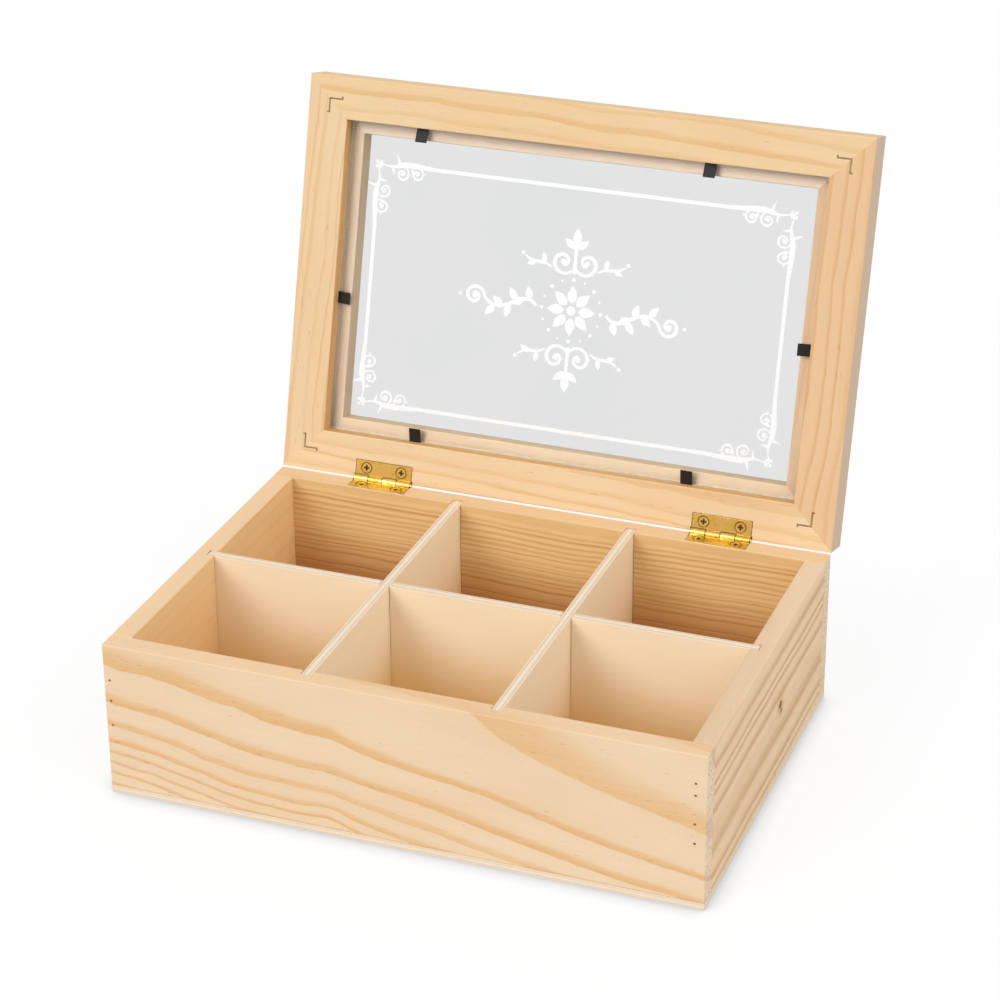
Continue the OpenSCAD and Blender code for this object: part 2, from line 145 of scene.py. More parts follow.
class Shader:
    """A material or world whose node tree is built by short calls. A value is a number or a socket."""

    def __init__(self, owner):
        self.owner = owner
        owner.use_nodes = True
        self.tree = owner.node_tree
        self.tree.nodes.clear()

    def node(self, kind, inputs=None, **settings):
        made = self.tree.nodes.new("ShaderNode" + kind)
        for name, value in settings.items():
            setattr(made, name, value)
        for name, value in (inputs or {}).items():
            self.feed(made.inputs[name], value)
        return made

    def feed(self, socket, value):
        if isinstance(value, bpy.types.NodeSocket):
            self.tree.links.new(value, socket)
        else:
            socket.default_value = value

    def math(self, operation, *values, clamp=False):
        inputs = dict(enumerate(values))
        return self.node("Math", inputs, operation=operation, use_clamp=clamp).outputs[0]

    def times(self, product, *factors):
        """The product of several values."""
        for factor in factors:
            product = self.math("MULTIPLY", product, factor)
        return product

    def absolute(self, value):
        return self.math("ABSOLUTE", value)

    def vector(self, operation, *values):
        made = self.node("VectorMath", dict(enumerate(values)), operation=operation)
        return made.outputs["Value"] if operation == "LENGTH" else made.outputs[0]

    def join(self, x, y, z):
        return self.node("CombineXYZ", {"X": x, "Y": y, "Z": z}).outputs[0]

    def grey(self, level):
        """A colour that has one level in all three parts."""
        return self.join(level, level, level)

    def parts(self, vector):
        return self.node("SeparateXYZ", {"Vector": vector}).outputs[:]

    def noise(self, place, detail=2.0, roughness=0.5, scale=1.0):
        inputs = {"Vector": place, "Scale": scale, "Detail": detail, "Roughness": roughness}
        return self.node("TexNoise", inputs).outputs[0]

    def swing(self, noise):
        """A noise value as a number that swings evenly round zero, mostly within one."""
        return self.math("MULTIPLY_ADD", noise, 4.0, -2.0)

    def span(self, value, low, high, out_low=0.0, out_high=1.0, smooth=True):
        """Maps low..high to out_low..out_high and holds the ends."""
        inputs = {"Value": value, "From Min": low, "From Max": high, "To Min": out_low, "To Max": out_high}
        kind = "SMOOTHSTEP" if smooth else "LINEAR"
        return self.node("MapRange", inputs, interpolation_type=kind).outputs[0]

    def mix(self, share, first, second, blend="MIX"):
        made = self.node("Mix", data_type="RGBA", blend_type=blend)
        for socket, value in zip((made.inputs[0], made.inputs[6], made.inputs[7]), (share, first, second)):
            self.feed(socket, value)
        return made.outputs[2]

    def shade(self, tint, change):
        """A colour made lighter or darker by a share that swings round zero."""
        return self.mix(1.0, tint, self.grey(self.math("ADD", change, 1.0)), blend="MULTIPLY")

    def ramp(self, value, stops):
        """A ramp from value to a height, through (place, height) stops."""
        made = self.node("ValToRGB", {"Fac": value})
        dots = made.color_ramp.elements
        while len(dots) < len(stops):
            dots.new(0.5)
        for dot, (place, height) in zip(dots, stops):
            dot.position = place
            dot.color = (height, height, height, 1.0)
        return made.outputs[0]

    def curve(self, value, points):
        """A smooth rising curve through (value, height) points, which starts at height 0."""
        low, high = points[0][0], points[-1][0]
        top = points[-1][1]
        made = self.node("FloatCurve", {"Value": self.span(value, low, high, smooth=False)})
        line = made.mapping.curves[0]
        for place, height in points[1:-1]:
            line.points.new((place - low) / (high - low), height / top)
        made.mapping.update()
        return self.math("MULTIPLY", made.outputs[0], top)

    def open_air(self, reach):
        """1 in the open, less in corners and gaps, by what stands within reach."""
        return self.node("AmbientOcclusion", {"Distance": reach}, samples=16).outputs["AO"]

    def bump(self, height, distance, strength):
        inputs = {"Height": height, "Distance": distance, "Strength": strength}
        return self.node("Bump", inputs).outputs[0]

    def surface(self, **inputs):
        """The Principled shader, by its sockets' names with _ for a space, joined to the output."""
        named = {name.replace("_", " "): value for name, value in inputs.items()}
        return self.finish(self.node("BsdfPrincipled", named).outputs[0])

    def finish(self, shader):
        kind = "OutputWorld" if isinstance(self.owner, bpy.types.World) else "OutputMaterial"
        self.node(kind, {"Surface": shader})
        return self.owner


def new_shader(name):
    return Shader(bpy.data.materials.new(name))


def seen_ray(shader):
    """1 for rays that only look, from the camera, off metal or through glass, and 0 for rays that light."""
    rays = shader.node("LightPath").outputs
    first = shader.math("MAXIMUM", rays["Is Camera Ray"], rays["Is Glossy Ray"])
    return shader.math("MAXIMUM", first, rays["Is Transmission Ray"])


# ---- Stage ----

# The level at which the world lights the object
SKY = 0.63
KEY_FROM = Vector((-0.40, -0.76, 0.51))
KEY_STRENGTH = 1.26
KEY_SOFTNESS = math.radians(32)
FILL_FROM = Vector((0.75, -0.25, 0.61))
FILL_STRENGTH = 0.88
FILL_SOFTNESS = math.radians(50)
# What metal sees of the world: a little dimmer on the camera's side than at the back
GLEAM_FRONT = 0.64
GLEAM_BACK = 1.0
# The share of the floor's look that glows, which leaves the rest to show shadows
FLOOR_GLOW = 0.87
# How much of the light on the floor goes back up onto the object
FLOOR_BOUNCE = 0.62
# The floor's glow as it shows through the glass
FLOOR_BEHIND_GLASS = 0.87
# How far from the box the painted contact shadow round its base reaches on the floor, and how dark it is
# there and right at the base
CONTACT_REACH = 12 * MM
CONTACT_SHADE = 0.83
CONTACT_CORE = 0.8
FLOOR_RADIUS = 4.0
# How far the floor lies under the box, so that their faces don't meet
FLOOR_GAP = 0.02 * MM


def make_world():
    """White where it is only looked at, a plain level where it lights, and a soft gradient for metal."""
    world = bpy.data.worlds.new("studio")
    bpy.context.scene.world = world
    shader = Shader(world)
    y = shader.parts(shader.node("TexCoord").outputs["Generated"])[1]
    rays = shader.node("LightPath").outputs
    seen = shader.math("MAXIMUM", rays["Is Camera Ray"], rays["Is Transmission Ray"])
    gleam = shader.span(y, -0.95, 0.2, GLEAM_FRONT, GLEAM_BACK)
    light = shader.math("MAXIMUM", SKY, seen)
    strength = shader.mix(rays["Is Glossy Ray"], shader.grey(light), shader.grey(gleam))
    shader.finish(shader.node("Background", {"Color": strength}).outputs[0])


def make_lamp(name, come_from, strength, softness):
    lamp = bpy.data.lights.new(name, "SUN")
    lamp.energy = strength
    lamp.angle = softness
    holder = bpy.data.objects.new(name, lamp)
    bpy.context.scene.collection.objects.link(holder)
    holder.rotation_mode = "QUATERNION"
    holder.rotation_quaternion = come_from.to_track_quat("Z", "Y")


def floor_white():
    """Near white where it is looked at, with a painted shadow round the base of the box, and dull where it
    lights.
    """
    shader = new_shader("floor_white")
    open_air = shader.open_air(CONTACT_REACH)
    # A painted contact shadow round the base of the box
    near = shader.span(open_air, 0.48, 0.95, CONTACT_SHADE, 1.0)
    tint = shader.grey(shader.times(near, shader.span(open_air, 0.5, 0.62, CONTACT_CORE, 1.0)))
    white = shader.node("BsdfDiffuse", {"Color": tint}).outputs[0]
    dull = shader.node("BsdfDiffuse", {"Color": (FLOOR_BOUNCE, FLOOR_BOUNCE, FLOOR_BOUNCE, 1)}).outputs[0]
    through = shader.node("LightPath").outputs["Is Transmission Ray"]
    strength = shader.span(through, 0.0, 1.0, 1.0, FLOOR_BEHIND_GLASS)
    glow = shader.node("Emission", {"Color": tint, "Strength": strength}).outputs[0]
    bright = shader.node("MixShader", {0: FLOOR_GLOW, 1: white, 2: glow}).outputs[0]
    return shader.finish(shader.node("MixShader", {0: seen_ray(shader), 1: dull, 2: bright}).outputs[0])


def make_floor():
    mesh = bpy.data.meshes.new("floor")
    shape = bmesh.new()
    bmesh.ops.create_circle(shape, cap_ends=True, segments=96, radius=FLOOR_RADIUS)
    shape.to_mesh(mesh)
    shape.free()
    floor = bpy.data.objects.new("floor", mesh)
    bpy.context.scene.collection.objects.link(floor)
    floor.location.z = cad_box[0].z - FLOOR_GAP
    mesh.materials.append(floor_white())


# ---- Wood ----


class Cut:
    """How a board was cut from its tree, in millimetres from the board's centre, x along the grain.

    pith: where the tree's heart lies, as (y, z), at the middle of the board.
    drift and bow: how far the heart moves for each millimetre along x, and for each squared one.
    rings: the number of the growth ring at some distances from the heart.
    wave: how far the rings stray from round. contrast: how dark they are. seed: the board's own noise.
    early and late: the colours of the early and the late wood.
    narrowing: how much closer the rings lie for each millimetre to the left, and from which radius on.
    kinks: places along the board, each with half its width and how far all the rings rise there.
    profile: how dark a ring is through the year, by its name in RING_PROFILES.
    steady: how dark the faintest ring is. uneven: how much the rings' widths differ.
    painted_shade_heights: the heights between which painted shade darkens the side that faces the front.
    """

    def __init__(self, pith, rings, seed, early, late=(232, 186, 128), drift=(0, 0), bow=(0, 0),
                 wave=1.0, contrast=1.0, narrowing=None, kinks=(), profile="crisp",
                 steady=0.65, uneven=0.25, painted_shade_heights=None):
        self.pith = pith
        self.rings = rings
        self.drift = drift
        self.bow = bow
        self.wave = wave
        self.contrast = contrast
        self.seed = seed
        self.early = early
        self.late = late
        self.narrowing = narrowing
        self.kinks = kinks
        self.profile = RING_PROFILES[profile]
        self.steady = steady
        self.uneven = uneven
        self.painted_shade_heights = painted_shade_heights


# How dark a ring is through the year, as (share of the year, darkness)
RING_PROFILES = {
    "crisp": [(0.0, 0.9), (0.025, 0.06), (0.4, 0.0), (0.66, 0.16), (0.78, 0.72), (0.9, 0.95), (1.0, 1.0)],
    "soft": [(0.0, 0.5), (0.1, 0.12), (0.35, 0.0), (0.58, 0.3), (0.76, 0.85), (0.9, 1.0), (1.0, 0.5)],
}


# How far from the heart evenly spaced rings are counted, in millimetres
RING_REACH = 320


def evenly(spacing):
    """Rings of one width."""
    return [(0, 0), (RING_REACH, RING_REACH / spacing)]


def board_place(shader, node, along):
    """A place on a board in millimetres from its centre, x along the grain, whatever the lid's angle."""
    low, high = flat_box(node)
    turn = Matrix.Rotation(-math.pi / 2 if along == "Y" else 0.0, 4, "Z")
    whole = turn @ Matrix.Translation(-(low + high) / 2)
    if on_lid(node):
        whole = whole @ TO_CLOSED
    inputs = {
        "Vector": shader.node("TexCoord").outputs["Object"],
        "Location": whole.translation / MM,
        "Rotation": whole.to_euler(),
        "Scale": (1 / MM,) * 3,
    }
    return shader.node("Mapping", inputs).outputs[0]


# How far a seed moves the noise along each axis
SEED_SHIFT = (3.7, 1.9, -2.3)


def grain_noise(shader, place, size, seed=0.0, detail=2.0, roughness=0.5):
    """Noise drawn out along the grain. size is its unit along and across the grain, in millimetres."""
    along, across = size
    inputs = {
        "Vector": place,
        "Location": [seed * shift for shift in SEED_SHIFT],
        "Scale": (1 / along, 1 / across, 1 / across),
    }
    return shader.noise(shader.node("Mapping", inputs).outputs[0], detail=detail, roughness=roughness)


def facing(shader, node):
    """The way a face of a node looks, for the lid's nodes with the lid closed: x, y and z."""
    normal = shader.node("TexCoord").outputs["Normal"]
    if on_lid(node):
        inputs = {"Vector": normal, "Angle": OPEN}
        normal = shader.node("VectorRotate", inputs, rotation_type="X_AXIS").outputs[0]
    return shader.parts(normal)


# How far the rings stray from round: the size of each wave along and across the grain, and its height
RING_WAVES = (((90.0, 40.0), 1.0), ((34.0, 15.0), 0.5), ((10.0, 3.0), 0.16))


def wood_radius(shader, place, cut):
    """How far a place lies from the tree's heart, in millimetres, with all that bends the rings."""
    x, y, z = shader.parts(place)
    square = shader.times(x, x)
    heart = [
        shader.math("MULTIPLY_ADD", x, drift, shader.math("MULTIPLY_ADD", square, bow, start))
        for start, drift, bow in zip(cut.pith, cut.drift, cut.bow)
    ]
    offset = shader.vector("SUBTRACT", shader.join(0.0, y, z), shader.join(0.0, *heart))
    radius = shader.vector("LENGTH", offset)
    for size, height in RING_WAVES:
        wave = shader.swing(grain_noise(shader, place, size, cut.seed + height, detail=1.0))
        radius = shader.math("MULTIPLY_ADD", wave, cut.wave * height, radius)
    if cut.narrowing:
        rate, steady = cut.narrowing
        stretch = shader.math("MULTIPLY_ADD", shader.math("MINIMUM", x, 0.0), -rate, 1.0)
        radius = shader.math("MULTIPLY_ADD", shader.math("SUBTRACT", radius, steady), stretch, steady)
    for centre, half_width, rise in cut.kinks:
        away = shader.math("DIVIDE", shader.math("SUBTRACT", x, centre), half_width)
        swell = shader.math("EXPONENT", shader.times(away, away, -1.0))
        radius = shader.math("MULTIPLY_ADD", swell, rise, radius)
    return radius


def ring_count(shader, place, cut):
    """The growth ring at a place: the whole part is its number, the rest how far through the year it is."""
    count = shader.curve(wood_radius(shader, place, cut), cut.rings)
    uneven = shader.swing(shader.noise(shader.join(count, cut.seed, 0.0), scale=0.45))
    return shader.math("MULTIPLY_ADD", uneven, cut.uneven, count)


def late_wood(shader, place, cut):
    """How dark the growth rings are at a place, from 0 in the early wood to 1 in the late wood."""
    count = ring_count(shader, place, cut)
    ring = shader.math("ADD", shader.math("FLOOR", count), cut.seed)
    chance = shader.node("TexWhiteNoise", {"W": ring}, noise_dimensions="1D").outputs[0]
    weight = shader.span(chance, 0.0, 1.0, cut.steady, 1.0, smooth=False)
    profile = shader.ramp(shader.math("FRACT", count), cut.profile)
    return shader.times(profile, weight, cut.contrast)


# The figure of pine: the size of its details along and across the grain, in millimetres
FIBRE_SIZE = (18.0, 0.32)
STREAK_SIZE = (70.0, 2.0)
CLOUD_SIZE = (55.0, 22.0)
FLECK_SIZE = (5.5, 0.6)
PIT_SIZE = (1.2, 1.2)

FLECK = colour(198, 146, 92)
END_EARLY = colour(242, 216, 186)
END_LATE = colour(222, 190, 158)
END_PITS = colour(184, 148, 120)
# The painted shade that a board takes on where it darkens
PAINTED_SHADE_TINT = colour(214, 188, 166)
# Painted shade on the stiles' outer sides, and painted light on the lip that the glass lies on
SIDE_PAINTED_SHADE = colour(200, 184, 172)
LIP_PAINTED_LIGHT = colour(250, 226, 202)
# Painted shade on the walls round the glass, on its near and its far side
WALL_PAINTED_SHADE = colour(246, 226, 192)
FAR_WALL_PAINTED_SHADE = colour(238, 240, 246)
NO_TINT = (1.0, 1.0, 1.0, 1.0)
# The lip lies above this level, in millimetres from the middle of a lid board's thickness
LIP_LEVEL = -2.0


def lid_painted_light(shader, wood, node, along, place, face_z, lip):
    """Paints shade onto the sides of a lid board and the walls round the glass, and, by a share, painted
    light onto the lip that the glass lies on.
    """
    _, across, level = shader.parts(place)
    low, high = flat_box(node)
    middle = (low + high) / 2
    outward = math.copysign(1.0, middle.y if along == "X" else -middle.x)
    outer = shader.span(shader.times(across, outward), 4.0, 6.0)
    upright = shader.span(shader.absolute(face_z), 0.3, 0.6, 1.0, 0.0)
    inward = shader.span(face_z, -0.9, -0.6, 1.0, 0.0)
    far = shader.span(level, LIP_LEVEL - 0.5, LIP_LEVEL)
    # Painted shade on the walls round the glass
    wall_shade = shader.mix(outer, shader.mix(far, WALL_PAINTED_SHADE, FAR_WALL_PAINTED_SHADE), NO_TINT)
    wood = shader.mix(upright, wood, wall_shade, blend="MULTIPLY")
    # Painted light on the lip that the glass lies on
    wood = shader.mix(shader.times(inward, far, lip), wood, LIP_PAINTED_LIGHT)
    # Painted shade on the stiles' outer sides
    if along == "Y":
        wood = shader.mix(shader.times(upright, outer, 0.55), wood, SIDE_PAINTED_SHADE)
    return wood


def long_grain(shader, place, cut, late, streak):
    """The colour of pine on the faces along its grain, before any tone of a single board."""
    red, green, blue = cut.early
    cloud = grain_noise(shader, place, CLOUD_SIZE, cut.seed + 3)
    clouded = shader.span(cloud, 0.35, 0.65)
    wood = shader.mix(clouded, colour(red, green, blue), colour(red - 1, green - 4, blue - 5))
    streaky = shader.span(late, 0.0, 0.7, 0.05, 0.2)
    share = shader.math("MULTIPLY_ADD", streak, streaky, late, clamp=True)
    wood = shader.mix(share, wood, colour(*cut.late))
    fleck = grain_noise(shader, place, FLECK_SIZE, cut.seed + 7, detail=1.5)
    near_late = shader.math("MULTIPLY_ADD", late, 0.06, fleck)
    return shader.mix(shader.span(near_late, 0.70, 0.78, 0.0, 0.6), wood, FLECK)


def end_grain(shader, place, cut, late):
    """The colour of pine where it is cut across its grain."""
    pits = grain_noise(shader, place, PIT_SIZE, cut.seed + 5)
    wood = shader.mix(late, END_EARLY, END_LATE)
    return shader.mix(shader.span(pits, 0.5, 0.66, 0.0, 0.6), wood, END_PITS)


def pine(name, node, along, cut, rim_tone_and_light=None, knot=None, lip=0.0):
    """Sanded, unfinished pine with growth rings, fibres, resin flecks and end grain.

    The tone given for its top edge is its own tone with painted light and shade mixed in, knot the place of
    a resin pocket, and the lip's value how much painted light makes the glass's lip pale.
    """
    shader = new_shader(name)
    place = board_place(shader, node, along)
    face_x, face_y, face_z = facing(shader, node)
    late = late_wood(shader, place, cut)
    fibre = shader.swing(grain_noise(shader, place, FIBRE_SIZE, cut.seed, detail=3.0, roughness=0.6))
    streak = shader.swing(grain_noise(shader, place, STREAK_SIZE, cut.seed + 9, detail=3.0))
    wood = long_grain(shader, place, cut, late, streak)
    # Painted shade, darker towards the bottom of the side that faces the front
    if cut.painted_shade_heights:
        low_shade = shader.span(shader.parts(place)[2], *cut.painted_shade_heights)
        inside = shader.span(face_y, -0.9, -0.5, 1.0, 0.0)
        wood = shader.mix(shader.times(low_shade, inside), wood, PAINTED_SHADE_TINT, blend="MULTIPLY")
    # Painted light and shade on the top edges, mixed with their own tone
    if rim_tone_and_light:
        wood = shader.mix(shader.span(face_z, 0.6, 0.95, 0.0, 0.5), wood, colour(*rim_tone_and_light))
    if on_lid(node):
        wood = lid_painted_light(shader, wood, node, along, place, face_z, lip)
    across_grain = shader.span(shader.absolute(face_x if along == "X" else face_y), 0.75, 0.95)
    wood = shader.mix(across_grain, wood, end_grain(shader, place, cut, late))
    wood = shader.shade(wood, shader.math("MULTIPLY_ADD", streak, 0.012, shader.times(fibre, 0.026)))
    if knot:
        wood = knotted(shader, wood, place, knot)
    matt = shader.span(late, 0.0, 1.0, 0.64, 0.54)
    height = shader.math("MULTIPLY_ADD", fibre, 0.3, late)
    shader.surface(
        Base_Color=wood,
        Roughness=shader.math("MULTIPLY_ADD", fibre, 0.03, matt),
        Specular_IOR_Level=0.25,
        Normal=shader.bump(height, 0.05 * MM, 0.5),
    )
    return shader.owner


KNOT_HEART = colour(104, 60, 26)
KNOT_HALO = colour(204, 152, 98)
# Half the length of the resin pocket along the grain and half its height, in millimetres
KNOT_REACH = (2.3, 2.1)
# The pocket and the smaller one under it: how far each lies to the right, how far down, and its size
KNOT_SPOTS = ((0.0, 0.0, 1.0), (1.28, 3.2, 0.55))


def knotted(shader, wood, place, knot):
    """A small resin pocket at (x, z) on a board, with a smaller one under it and a stained halo."""
    x, _, z = shader.parts(place)
    ragged = shader.swing(shader.noise(place, scale=0.55, detail=3.0))
    for right, down, size in KNOT_SPOTS:
        from_x = shader.math("SUBTRACT", x, knot[0] + right)
        from_z = shader.math("SUBTRACT", z, knot[1] - down)
        across = shader.math("DIVIDE", from_x, KNOT_REACH[0] * size)
        upward = shader.math("DIVIDE", from_z, KNOT_REACH[1] * size)
        reach = shader.vector("LENGTH", shader.join(across, upward, 0.0))
        reach = shader.math("MULTIPLY_ADD", ragged, 0.3, reach)
        wood = shader.mix(shader.span(reach, 0.8, 3.2, 0.45, 0.0), wood, KNOT_HALO)
        wood = shader.mix(shader.span(reach, 0.5, 1.05, 0.9, 0.0), wood, KNOT_HEART)
    return wood


class Plies:
    """The colours of a sheet of plywood.

    skins: the two tones of its outer faces. skin_edge: the edge of its outer plies. heart: its core.
    glue: the seams between them. painted_warm_shade: the warm painted shade that an upright sheet takes on
    towards its lower edge.
    """

    def __init__(self, skins, skin_edge, heart, glue, painted_warm_shade=(255, 255, 255)):
        self.skins = skins
        self.skin_edge = skin_edge
        self.heart = heart
        self.glue = glue
        self.painted_warm_shade = painted_warm_shade


DIVIDER_PLY = Plies(
    skins=((252, 234, 206), (249, 228, 194)),
    skin_edge=(238, 212, 184),
    heart=(243, 228, 206),
    glue=(192, 164, 138),
    painted_warm_shade=(251, 231, 184),
)
BOTTOM_PLY = Plies(
    skins=((244, 222, 190), (238, 214, 180)),
    skin_edge=(236, 216, 192),
    heart=(240, 224, 202),
    glue=(220, 200, 176),
)
PLY_PORES = colour(222, 200, 172)
# The outer ply's share of a sheet's thickness
SKIN_SHARE = 0.27
# The figure of plywood: the size of its details along and across the grain, in millimetres
PLY_FIBRE_SIZE = (14.0, 0.5)
PLY_BROAD_SIZE = (80.0, 12.0)
PLY_PORE_SIZE = (0.5, 0.35)
# The heights between which painted warm shade comes over an upright sheet, in millimetres from its middle
WARM_SHADE_BETWEEN = (14.0, -28.0)


def plywood(name, node, along, through, plies, seed):
    """Three-ply wood. through is the axis across its thickness: 1 for y, 2 for z in the board's space."""
    shader = new_shader(name)
    place = board_place(shader, node, along)
    low, high = flat_box(node)
    thickness = min(high - low) / MM
    skin = SKIN_SHARE * thickness
    depth = shader.math("SUBTRACT", thickness / 2, shader.absolute(shader.parts(place)[through]))
    fibre = shader.swing(grain_noise(shader, place, PLY_FIBRE_SIZE, seed, detail=3.0))
    broad = shader.swing(grain_noise(shader, place, PLY_BROAD_SIZE, seed + 4))
    pores = shader.span(grain_noise(shader, place, PLY_PORE_SIZE, seed + 2, detail=1.0), 0.62, 0.75)
    mottle = shader.math("MULTIPLY_ADD", broad, 0.3, 0.5, clamp=True)
    face = shader.mix(mottle, *(colour(*skin_tone) for skin_tone in plies.skins))
    face = shader.mix(shader.span(depth, 0.1, 0.3), face, colour(*plies.skin_edge))
    heart = shader.mix(pores, colour(*plies.heart), PLY_PORES)
    wood = shader.mix(shader.span(depth, skin - 0.05, skin + 0.05), face, heart)
    seam = shader.absolute(shader.math("SUBTRACT", depth, skin))
    wood = shader.mix(shader.span(seam, 0.08, 0.22, 0.6, 0.0), wood, colour(*plies.glue))
    # Painted warm shade, deeper towards the lower edge of an upright sheet
    foot_shade = shader.span(shader.parts(place)[2], *WARM_SHADE_BETWEEN)
    wood = shader.mix(foot_shade, wood, colour(*plies.painted_warm_shade), blend="MULTIPLY")
    wood = shader.shade(wood, shader.math("MULTIPLY_ADD", broad, 0.008, shader.times(fibre, 0.014)))
    shader.surface(
        Base_Color=wood,
        Roughness=shader.math("MULTIPLY_ADD", fibre, 0.03, 0.55),
        Specular_IOR_Level=0.25,
        Normal=shader.bump(fibre, 0.03 * MM, 0.4),
    )
    return shader.owner


# ---- Metal, glass and print ----


def metal_place(shader):
    """A place in millimetres."""
    inputs = {"Vector": shader.node("TexCoord").outputs["Object"], "Scale": (1 / MM,) * 3}
    return shader.node("Mapping", inputs).outputs[0]


# Clean and dull brass, with a painted reflection in it: the lid's leaves are painted a little redder and
# darker than the box's, for what they face
LEAF_TONES_AND_REFLECTION = {"box": ((240, 214, 130), (228, 196, 104)), "lid": ((236, 194, 106), (222, 174, 80))}
# Painted shade in the screws' recesses
RECESS_SHADE = colour(92, 62, 26)
# Painted shade in the gaps of the hinge and in the seam round each screw's head, and how far it reaches out
# of the gaps
GAP_SHADE = colour(104, 72, 30)
GAP_SHADE_REACH = 0.9 * MM
# The fine lines that rolling leaves, along and across the hinge, in millimetres
ROLLED_SIZE = (9.0, 0.15)
# How far outside a screw's head the painted shade of the seam round it runs, in millimetres
SEAM_OUT = 0.1


def brass(name, screws, is_screw=False):
    """Bright rolled brass with fine lines and dull spots, with painted shade in its gaps and round the heads
    of a node's screws.

    In the screws themselves the recesses have painted shade as well.
    """
    shader = new_shader(name)
    place = metal_place(shader)
    lines = shader.swing(grain_noise(shader, place, ROLLED_SIZE, detail=3.0))
    spots = shader.noise(place, scale=0.3, detail=3.0)
    # Each body's brass tone carries a painted reflection
    clean, dull = LEAF_TONES_AND_REFLECTION["lid" if on_lid(screws) else "box"]
    metal = shader.mix(shader.span(spots, 0.4, 0.7), colour(*clean), colour(*dull))
    # Painted shade in the hinge's gaps, darkest where other parts stand closest
    metal = shader.mix(shader.span(shader.open_air(GAP_SHADE_REACH), 0.3, 0.8, 0.9, 0.0), metal, GAP_SHADE)
    low, high = flat_box(screws)
    half = (high - low) / 2 / MM
    # The node holds two screws side by side along x, so that half its depth is a head's radius
    head = half.y
    x, y, height = shader.parts(board_place(shader, screws, "X"))
    from_screw = shader.math("SUBTRACT", shader.absolute(x), half.x - head)
    from_axis = shader.vector("LENGTH", shader.join(from_screw, y, 0.0))
    from_seam = shader.absolute(shader.math("SUBTRACT", from_axis, head + SEAM_OUT))
    # Painted shade in the seam round each screw's head
    metal = shader.mix(shader.span(from_seam, 0.1, 0.4, 0.75, 0.0), metal, GAP_SHADE)
    rough = shader.math("MULTIPLY_ADD", lines, 0.02, shader.span(spots, 0.35, 0.7, 0.26, 0.34))
    shine = 1.0
    if is_screw:
        # The heads end at half the node's height, on the side that faces out of the wood
        outward = 1.0 if on_lid(screws) else -1.0
        depth = shader.math("MULTIPLY_ADD", height, outward, half.z)
        in_recess = shader.span(depth, 0.18, 0.3)
        # Painted shade in each screw's recess, which also takes off its shine
        metal = shader.mix(in_recess, metal, RECESS_SHADE)
        rough = shader.math("MULTIPLY_ADD", in_recess, 0.4, rough)
        shine = shader.math("SUBTRACT", 1.0, in_recess)
    shader.surface(
        Base_Color=metal,
        Metallic=shine,
        Roughness=rough,
        Normal=shader.bump(lines, 0.002 * MM, 0.15),
    )
    return shader.owner


# Clean and stained steel
BRAD_TONES = ((176, 132, 90), (128, 92, 62))
V_NAIL_TONES = ((172, 136, 96), (128, 94, 62))


def nail_steel(name, clean, stained):
    """Dull steel, browned where the wood has stained it."""
    shader = new_shader(name)
    spots = shader.noise(metal_place(shader), scale=0.7, detail=4.0, roughness=0.6)
    shader.surface(
        Base_Color=shader.mix(shader.span(spots, 0.35, 0.65), colour(*clean), colour(*stained)),
        Metallic=0.2,
        Roughness=shader.span(spots, 0.3, 0.7, 0.5, 0.66),
        Normal=shader.bump(spots, 0.02 * MM, 0.3),
    )
    return shader.owner


def black_steel(name):
    """Black-lacquered spring steel with a soft gloss and faint wear."""
    shader = new_shader(name)
    grain = shader.noise(metal_place(shader), scale=2.4, detail=4.0)
    shader.surface(
        Base_Color=shader.mix(shader.span(grain, 0.6, 0.8), colour(36, 33, 32), colour(66, 60, 58)),
        Roughness=shader.span(grain, 0.3, 0.7, 0.4, 0.55),
        Specular_IOR_Level=0.25,
        Normal=shader.bump(grain, 0.02 * MM, 0.3),
    )
    return shader.owner


def window_glass(name):
    """Clear float glass with a slight grey tint and faint smears."""
    shader = new_shader(name)
    smear = shader.noise(metal_place(shader), scale=0.025, detail=3.0)
    shader.surface(
        Base_Color=shader.mix(shader.span(smear, 0.3, 0.7), colour(240, 241, 241), colour(243, 243, 243)),
        Roughness=shader.span(smear, 0.5, 0.8, 0.0, 0.03),
        IOR=1.45,
        Transmission_Weight=1.0,
    )
    return shader.owner


def white_enamel(name):
    """Screen-printed white enamel, slightly uneven."""
    shader = new_shader(name)
    mottle = shader.noise(metal_place(shader), scale=1.6, detail=3.0)
    shader.surface(
        Base_Color=shader.mix(shader.span(mottle, 0.35, 0.7), colour(249, 252, 255), colour(243, 246, 249)),
        Roughness=shader.span(mottle, 0.3, 0.7, 0.35, 0.5),
        Normal=shader.bump(mottle, 0.01 * MM, 0.3),
    )
    return shader.owner


# ---- Pieces that stand for CAD nodes, with eased edges ----

SHARP_TURN = math.radians(40)


def join_up(source, turn):
    """A node's mesh as one clean shell, turned, with its flat faces whole again."""
    shape = bmesh.new()
    shape.from_mesh(source.data)
    bmesh.ops.remove_doubles(shape, verts=shape.verts, dist=0.001 * MM)
    bmesh.ops.transform(shape, matrix=turn, verts=shape.verts)
    bmesh.ops.dissolve_limit(shape, angle_limit=math.radians(0.5), verts=shape.verts, edges=shape.edges)
    return shape


def add_piece(name, shape, material, body):
    """Makes a finished shape into a piece that rides on a body and shades smoothly over small turns."""
    for edge in shape.edges:
        edge.smooth = len(edge.link_faces) == 2 and edge.calc_face_angle() < SHARP_TURN
    for face in shape.faces:
        face.smooth = True
    mesh = bpy.data.meshes.new(name)
    shape.to_mesh(mesh)
    shape.free()
    piece = bpy.data.objects.new(name, mesh)
    bpy.context.scene.collection.objects.link(piece)
    mesh.materials.append(material)
    level = piece.modifiers.new("level_faces", "WEIGHTED_NORMAL")
    level.keep_sharp = True
    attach(piece, body)
    return piece


